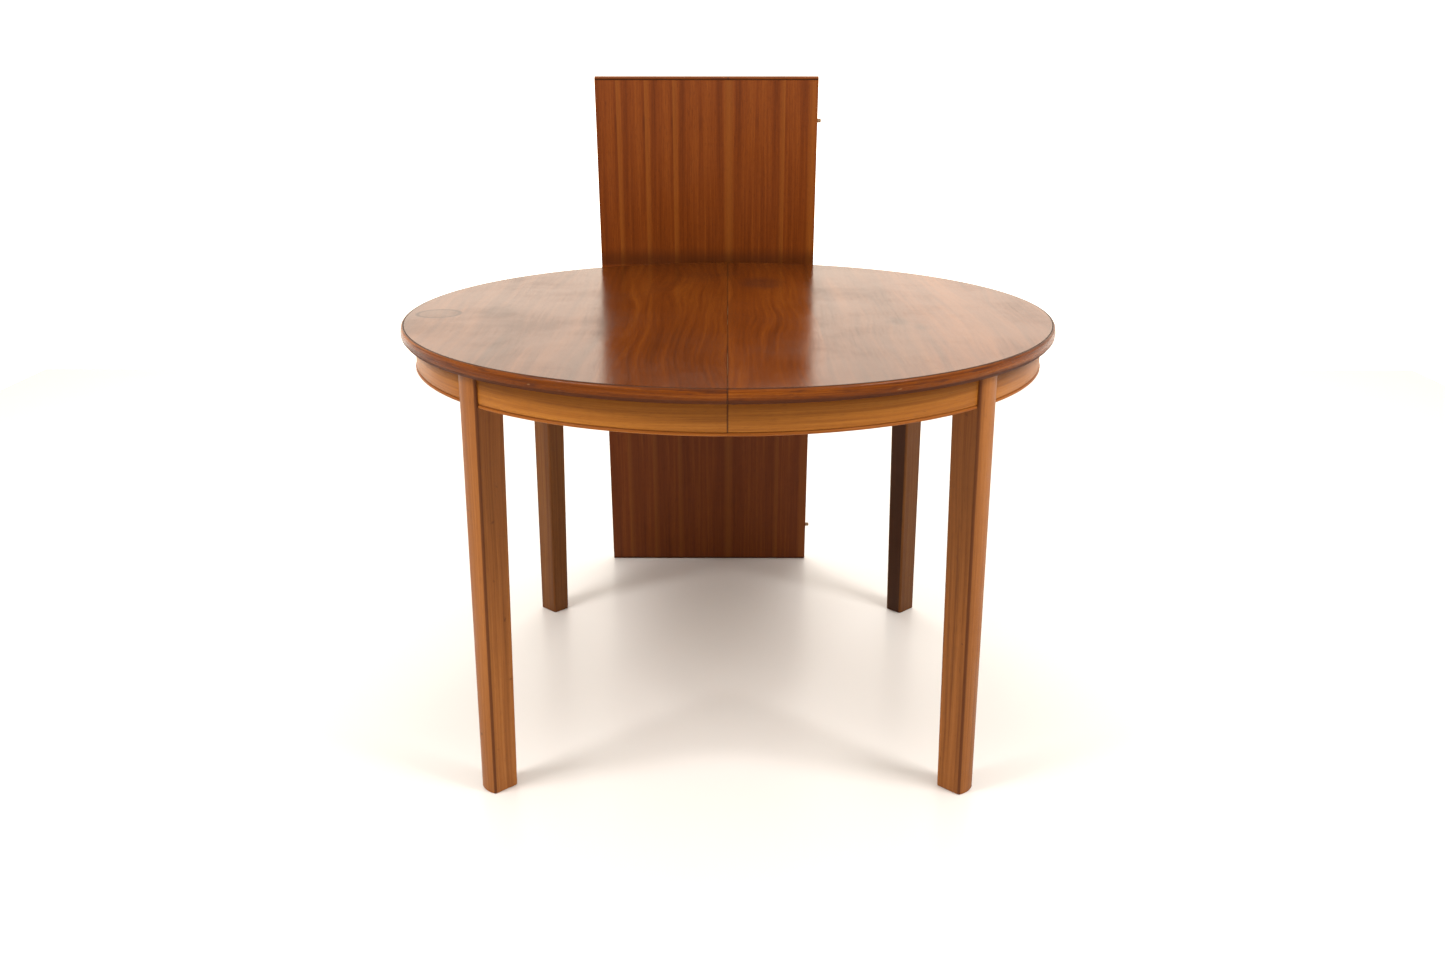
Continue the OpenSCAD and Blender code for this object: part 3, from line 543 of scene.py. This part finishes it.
def top_veneer(name):
    """Veneer leaves side by side, each with its own shade. Soft dull clouds, a few dark
    smudges and a ring left by a cup lie over them, and the varnish is slightly wavy."""
    material, tree = new_material(name)
    x, y = object_axes(tree)[:2]
    number, chance = veneer_leaf(tree, x, TOP_LEAF, 0.0)
    depth = calc(tree, "MULTIPLY", number, 0.37)
    tones = ((0.056, 0.011, 0.0011), (0.120, 0.026, 0.0024), (0.200, 0.052, 0.0050))
    colour, height, tone = timber(tree, y, x, depth, tones, 0.020, 110.0, 14.0)
    level = fade(tree, chance, 0.0, 1.0, 0.85, 1.12)
    shade = node(tree, "CombineColor", {0: level, 1: level, 2: level}).outputs[0]
    colour = tint(tree, 1.0, colour, shade, "MULTIPLY")
    place = node(tree, "TexCoord").outputs["Object"]
    clouds = node(tree, "TexNoise", {"Vector": place, "Scale": 4.2, "Detail": 4.0, "Roughness": 0.6})
    cloud = clouds.outputs[0]
    smudge = fade(tree, cloud, 0.52, 0.72, 0.0, 0.32)
    colour = tint(tree, smudge, colour, (0.045, 0.012, 0.004, 1.0))
    from_mark = distance_to(tree, x, y, *RING_MARK[:2])
    outline = calc(tree, "ABSOLUTE", calc(tree, "SUBTRACT", from_mark, RING_MARK[2]))
    inside = fade(tree, from_mark, RING_MARK[2] - 0.006, RING_MARK[2], 0.35, 0.0)
    ring = calc(tree, "MAXIMUM", fade(tree, outline, 0.001, 0.006, 0.85, 0.0), inside)
    colour = tint(tree, ring, colour, (0.024, 0.008, 0.006, 1.0))
    marks = ring
    for cx, cy, size, share in SMUDGES:
        mark = fade(tree, distance_to(tree, x, y, cx, cy, 0.6), size * 0.2, size, share, 0.0)
        mark = calc(tree, "MULTIPLY", mark, fade(tree, cloud, 0.40, 0.60, 0.6, 1.3))
        colour = tint(tree, mark, colour, (0.026, 0.009, 0.006, 1.0))
        marks = calc(tree, "MAXIMUM", marks, mark)
    colour = darken_beside_split(tree, colour)
    rubs = grain_noise(tree, y, x, 0.0, (14.0, 260.0), 2.0)
    panel_r = RIM_R - LIP_WIDE
    edge = fade(tree, distance_to(tree, x, y, 0.0, 0.0), panel_r - 0.002, panel_r - 0.001, 0.0, 0.5)
    colour = tint(tree, edge, colour, (0.036, 0.012, 0.005, 1.0))
    wave = node(tree, "TexNoise", {"Vector": place, "Scale": 26.0, "Detail": 1.0}).outputs[0]
    hazy = fade(tree, cloud, 0.35, 0.62, 0.145, 0.205)
    worn = calc(tree, "ADD", hazy, fade(tree, rubs, 0.50, 0.66, 0.0, 0.02))
    dull = calc(tree, "ADD", calc(tree, "MULTIPLY", marks, 0.09), calc(tree, "MULTIPLY", smudge, 0.12))
    streaked = calc(tree, "ADD", calc(tree, "ADD", worn, dull), fade(tree, tone, 0.38, 0.62, 0.02, 0.0))
    roughness = calc(tree, "MINIMUM", streaked, DULLEST)
    relief = calc(tree, "ADD", calc(tree, "MULTIPLY", height, 0.25), calc(tree, "MULTIPLY", wave, 1.5))
    varnish(tree, colour, roughness, relief, 0.000035, 0.43)
    return material


def dress(node_name, *materials):
    """Gives a CAD piece its finish in place of the plain one."""
    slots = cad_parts[node_name].material_slots
    for index, slot in enumerate(slots):
        slot.material = materials[min(index, len(materials) - 1)]


TOP_FINISH = top_veneer("top_veneer")
for side_name in SIDES:
    dress("top_panel_" + side_name, TOP_FINISH)

# ---------------------------------------------------------------------------
# Leaf: a loose board faced with narrow leaves of teak veneer along its length, with a
# teak lipping on both ends and beech pegs in one long edge. It leans on the table's rim.
# ---------------------------------------------------------------------------
LEAF_TILT = 7.5
LEAF_WIDE, LEAF_LONG = 0.453, 2 * RIM_R
LEAF_X = -0.0435
LEAF_GAP = 0.0003           # between the rim and the leaf
LEAF_STRIP, LEAF_START = 0.0575, 0.012      # width of one strip of its veneer, and the first one's place
leaf_sin, leaf_cos = math.sin(math.radians(LEAF_TILT)), math.cos(math.radians(LEAF_TILT))
leaf_z = LIP_ROUND * (1 - leaf_cos - leaf_sin)
leaf_rest = LIP_ROUND + LEAF_GAP + (TABLE_HIGH - LIP_ROUND - leaf_z) * leaf_sin
leaf_y = RIM_R - LIP_ROUND + leaf_rest / leaf_cos


def lean(points):
    """Stands the leaf's own (x, thickness, length) points up against the rim."""
    x, y, z = points[..., 0], points[..., 1], points[..., 2]
    back = leaf_y + y * leaf_cos - z * leaf_sin
    up = leaf_z + y * leaf_sin + z * leaf_cos
    return np.stack([x + LEAF_X, back, up], -1)


def leaf_veneer(name):
    """Strips of veneer along the leaf, each paler along one edge, with knots drawn out into
    short flames. Below the table top the leaf is darkened as painted shade, and the face
    has a painted shadow just above the place where it rests on the rim."""
    material, tree = new_material(name)
    foot = leaf_y * leaf_sin - leaf_z * leaf_cos
    face = -leaf_y * leaf_cos - leaf_z * leaf_sin
    x, y, z = object_axes(tree, (-math.radians(LEAF_TILT), 0.0, 0.0), (-LEAF_X, face, foot))
    number, chance = veneer_leaf(tree, x, LEAF_STRIP, LEAF_START)
    # Every strip is the next slice of one flitch, and about half of them are turned over
    share = calc(tree, "FRACT", calc(tree, "DIVIDE", calc(tree, "ADD", x, LEAF_START), LEAF_STRIP))
    turned = calc(tree, "ABSOLUTE", calc(tree, "SUBTRACT", share, calc(tree, "GREATER_THAN", chance, 0.5)))
    flitch = calc(tree, "MULTIPLY", turned, LEAF_STRIP)
    depth = calc(tree, "MULTIPLY", number, 0.0007)
    tones = ((0.105, 0.020, 0.0022), (0.178, 0.038, 0.0045), (0.270, 0.070, 0.0088))
    colour, height = timber(tree, z, flitch, depth, tones, 0.003, 170.0, 18.0)[:2]
    sapwood = fade(tree, turned, 0.02, 0.24, 0.42, 0.0)
    colour = tint(tree, sapwood, colour, (0.31, 0.094, 0.013, 1.0))
    knots = grain_noise(tree, z, flitch, depth, (7.0, 42.0), 1.0)
    colour = tint(tree, fade(tree, knots, 0.68, 0.78, 0.0, 0.45), colour, (0.07, 0.014, 0.003, 1.0))
    # Painted shadow on the front face just above where the leaf rests on the rim
    lowest = fade(tree, z, 0.716, 0.724, 0.0, 0.6)
    painted_rim_shadow = calc(tree, "MULTIPLY", lowest, fade(tree, z, 0.730, 0.765, 1.0, 0.0))
    painted_rim_shadow = calc(tree, "MULTIPLY", painted_rim_shadow, fade(tree, y, 0.001, 0.003, 1.0, 0.0))
    colour = tint(tree, painted_rim_shadow, colour, (0.05, 0.012, 0.003, 1.0))
    # Painted shade: the leaf darkens below the table top, which shades it
    colour = tint(tree, fade(tree, z, 0.45, 0.72, 0.32, 0.0), colour, (0.04, 0.012, 0.004, 1.0))
    rubbed = grain_noise(tree, z, x, 0.0, (6.0, 6.0), 3.0)
    varnish(tree, colour, fade(tree, rubbed, 0.35, 0.65, 0.32, 0.44), height, gloss=0.15)
    return material


dress("leaf_panel", leaf_veneer("leaf_veneer"))
leaf_lip_finish = [lipping_teak("leaf_lipping_teak", *lip_parts), TEAK_ENDS]
for place, outward, base in (("upper", 1, LEAF_LONG - LIP_WIDE), ("lower", -1, LIP_WIDE)):
    across_leaf = np.linspace(-LEAF_WIDE / 2, LEAF_WIDE / 2, 16)[:, None]
    thick = PANEL_THICK - lip_section[:, 1]
    length = base + outward * lip_section[:, 0]
    x = np.broadcast_to(across_leaf, (16, len(lip_section)))
    rings = lean(np.stack([x, np.broadcast_to(thick, x.shape), np.broadcast_to(length, x.shape)], -1))
    # The two strips are cut from different places of the wood
    along = x + 3.0 * outward
    end_strip = skin("leaf_lipping_%s_strip" % place, rings, along, lip_lengths, leaf_lip_finish)
    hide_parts("leaf_lipping_" + place)
    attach(end_strip, "leaf")

# ---------------------------------------------------------------------------
# Beech work under the top: slide rails and battens, corner blocks behind the legs, the
# stops on the rails, dowels and pegs. All of it is planed and left without a finish.
# ---------------------------------------------------------------------------


def beech(name, turn, pale=1.0):
    """Pale beech with short brown flecks, its grain turned by that angle from X."""
    material, tree = new_material(name)
    x, y, z = object_axes(tree, (0.0, 0.0, -math.radians(turn)))
    tones = tuple(tuple(v * pale for v in t) for t in (
        (0.34, 0.20, 0.10), (0.46, 0.29, 0.155), (0.56, 0.375, 0.215)))
    colour, height = timber(tree, x, y, z, tones, 0.006, 180.0, 24.0)[:2]
    flecks = grain_noise(tree, x, y, z, (160.0, 900.0), 1.0)
    colour = tint(tree, fade(tree, flecks, 0.62, 0.72, 0.0, 0.45), colour, (0.22, 0.11, 0.05, 1.0))
    dust = grain_noise(tree, x, y, z, (5.0, 5.0), 3.0)
    colour = tint(tree, fade(tree, dust, 0.45, 0.75, 0.0, 0.35), colour, (0.20, 0.13, 0.08, 1.0))
    varnish(tree, colour, 0.62, height)
    return material


BEECH_ALONG = beech("beech_rails", 0.0)
BEECH_CROSS = beech("beech_battens", 90.0, 0.92)
BEECH_STOPS = beech("beech_stops", 90.0, 0.80)
for side_name, side in SIDES.items():
    for end_name, end in ENDS.items():
        dress("slide_rail_%s_%s" % (end_name, side_name), BEECH_ALONG)
        turn = 90.0 + side * end * LEG_ANGLE
        block = beech("beech_block_%s_%s" % (end_name, side_name), turn, 0.86)
        dress("corner_block_%s_%s" % (end_name, side_name), block)
    dress("batten_" + side_name, BEECH_CROSS)
    dress("rail_stops_" + side_name, BEECH_STOPS)
    dress("apron_dowels_" + side_name, BEECH_ALONG)

# ---------------------------------------------------------------------------
# Pegs: turned beech, glued into one half of the top and one edge of the leaf. They hold
# the surfaces level where they meet.
# ---------------------------------------------------------------------------
PEG_FINISH = beech("beech_pegs", 0.0, 0.70)
dress("locating_pegs", PEG_FINISH)
dress("leaf_pegs", PEG_FINISH)

# ---------------------------------------------------------------------------
# Fixings: zinc plated steel bolts, washers, nuts and countersunk wood screws.
# ---------------------------------------------------------------------------


def plated_metal(name, colour, tarnish, roughness):
    """Worn plate: tarnish in clouds over the bright metal, with fine scratches."""
    material, tree = new_material(name)
    place = node(tree, "TexCoord").outputs["Object"]
    cloud = node(tree, "TexNoise", {"Vector": place, "Scale": 130.0, "Detail": 4.0}).outputs[0]
    fine = node(tree, "TexNoise", {"Vector": place, "Scale": 2600.0, "Detail": 1.0}).outputs[0]
    tone = tint(tree, fade(tree, cloud, 0.42, 0.66), (*colour, 1.0), (*tarnish, 1.0))
    bump = node(tree, "Bump", {"Height": fine, "Distance": 0.00002, "Strength": 0.5})
    inputs = {"Base Color": tone, "Metallic": 1.0, "Normal": bump.outputs[0],
              "Roughness": fade(tree, cloud, 0.35, 0.7, roughness, roughness + 0.22)}
    shader = node(tree, "BsdfPrincipled", inputs)
    node(tree, "OutputMaterial", {"Surface": shader.outputs[0]})
    return material


ZINC = plated_metal("zinc_plate", (0.62, 0.62, 0.60), (0.36, 0.35, 0.32), 0.30)
for side_name in SIDES:
    for kind in ("leg_bolts", "leg_washers", "leg_nuts", "corner_block_screws", "batten_screws",
                 "rail_screws", "stop_screws"):
        dress("%s_%s" % (kind, side_name), ZINC)

# ---------------------------------------------------------------------------
# Catches: flat brass hooks that turn on a shouldered stud under the left half and close
# over a stud under the right half.
# ---------------------------------------------------------------------------
BRASS = plated_metal("dull_brass", (0.60, 0.42, 0.16), (0.30, 0.19, 0.07), 0.28)
for node_name in ("catch_hook_front", "catch_hook_back", "catch_pivots", "catch_studs"):
    dress(node_name, BRASS)

# ---------------------------------------------------------------------------
# Studio: a pale, slightly glossy floor, a warm white light from all round that is
# strongest behind the table, and three soft lamps over it.
# ---------------------------------------------------------------------------
FLOOR_HALF = 2.6


def studio_floor(name):
    """Plain pale paint with a soft sheen."""
    material, tree = new_material(name)
    inputs = {"Base Color": (0.93, 0.885, 0.835, 1.0), "Roughness": 0.27}
    shader = node(tree, "BsdfPrincipled", inputs)
    node(tree, "OutputMaterial", {"Surface": shader.outputs[0]})
    return material


corners = [(-FLOOR_HALF, -FLOOR_HALF, 0), (FLOOR_HALF, -FLOOR_HALF, 0),
           (FLOOR_HALF, FLOOR_HALF, 0), (-FLOOR_HALF, FLOOR_HALF, 0)]
floor_mesh = bpy.data.meshes.new("studio_floor")
floor_mesh.from_pydata(corners, [], [(0, 1, 2, 3)])
floor_mesh.materials.append(studio_floor("studio_floor"))
studio = bpy.data.objects.new("studio_floor", floor_mesh)
bpy.context.scene.collection.objects.link(studio)

# Light from all round: dim near the horizon and brighter overhead, with a bright warm
# band low at the back, and pale below the horizon where the floor ends
world = bpy.data.worlds.new("studio_light")
world.use_nodes = True
bpy.context.scene.world = world
sky = world.node_tree
sky.nodes.clear()
way = node(sky, "SeparateXYZ", {0: node(sky, "TexCoord").outputs["Generated"]}).outputs
overhead = fade(sky, way[2], 0.10, 0.85, 0.56, 0.80)
behind = fade(sky, way[1], 0.4, 0.85, 0.0, 1.05)
low = fade(sky, way[2], 0.26, 0.56, 1.0, 0.0)
below = fade(sky, way[2], -0.03, 0.0, 0.9, 0.0)
glow = calc(sky, "MULTIPLY", behind, low)
strength = calc(sky, "ADD", calc(sky, "ADD", overhead, below), glow)
shade = tint(sky, calc(sky, "DIVIDE", glow, strength), (1.0, 0.975, 0.91, 1.0), (1.0, 0.79, 0.60, 1.0))
backdrop = node(sky, "Background", {"Color": shade, "Strength": strength})
node(sky, "OutputWorld", {"Surface": backdrop.outputs[0]})


def soft_light(name, place, aim, size, power, mirrored=True):
    """A square area light at a place, turned to face the aim point. Varnish shows its image
    only if it is mirrored."""
    data = bpy.data.lights.new(name, "AREA")
    data.size = size
    data.energy = power
    lamp = bpy.data.objects.new(name, data)
    away = np.array(place) - np.array(aim)
    lamp.location = place
    lamp.rotation_euler = (math.acos(away[2] / np.linalg.norm(away)), 0.0,
                           math.atan2(away[1], away[0]) + math.pi / 2)
    lamp.visible_glossy = mirrored
    bpy.context.scene.collection.objects.link(lamp)


soft_light("side_light_left", (-1.9, -1.2, 2.7), (0.0, -0.1, 0.4), 0.9, 54.0)
soft_light("side_light_right", (1.9, -1.2, 2.7), (0.0, -0.1, 0.4), 0.9, 54.0)
soft_light("back_light", (0.0, 2.3, 3.0), (0.0, 2.0, 0.0), 2.4, 60.0, mirrored=False)

# ---------------------------------------------------------------------------
# Camera: in front of the table at head height, looking a little down.
# ---------------------------------------------------------------------------
lens = bpy.data.cameras.new("camera")
lens.lens = 32.44
lens.sensor_width = 36.0
camera = bpy.data.objects.new("camera", lens)
camera.location = (0.0004, -2.2416, 1.1472)
camera.rotation_euler = (math.radians(90.0 - 18.08), 0.0, 0.0042)
bpy.context.scene.collection.objects.link(camera)
bpy.context.scene.camera = camera
bpy.context.scene.view_settings.view_transform = "Standard"
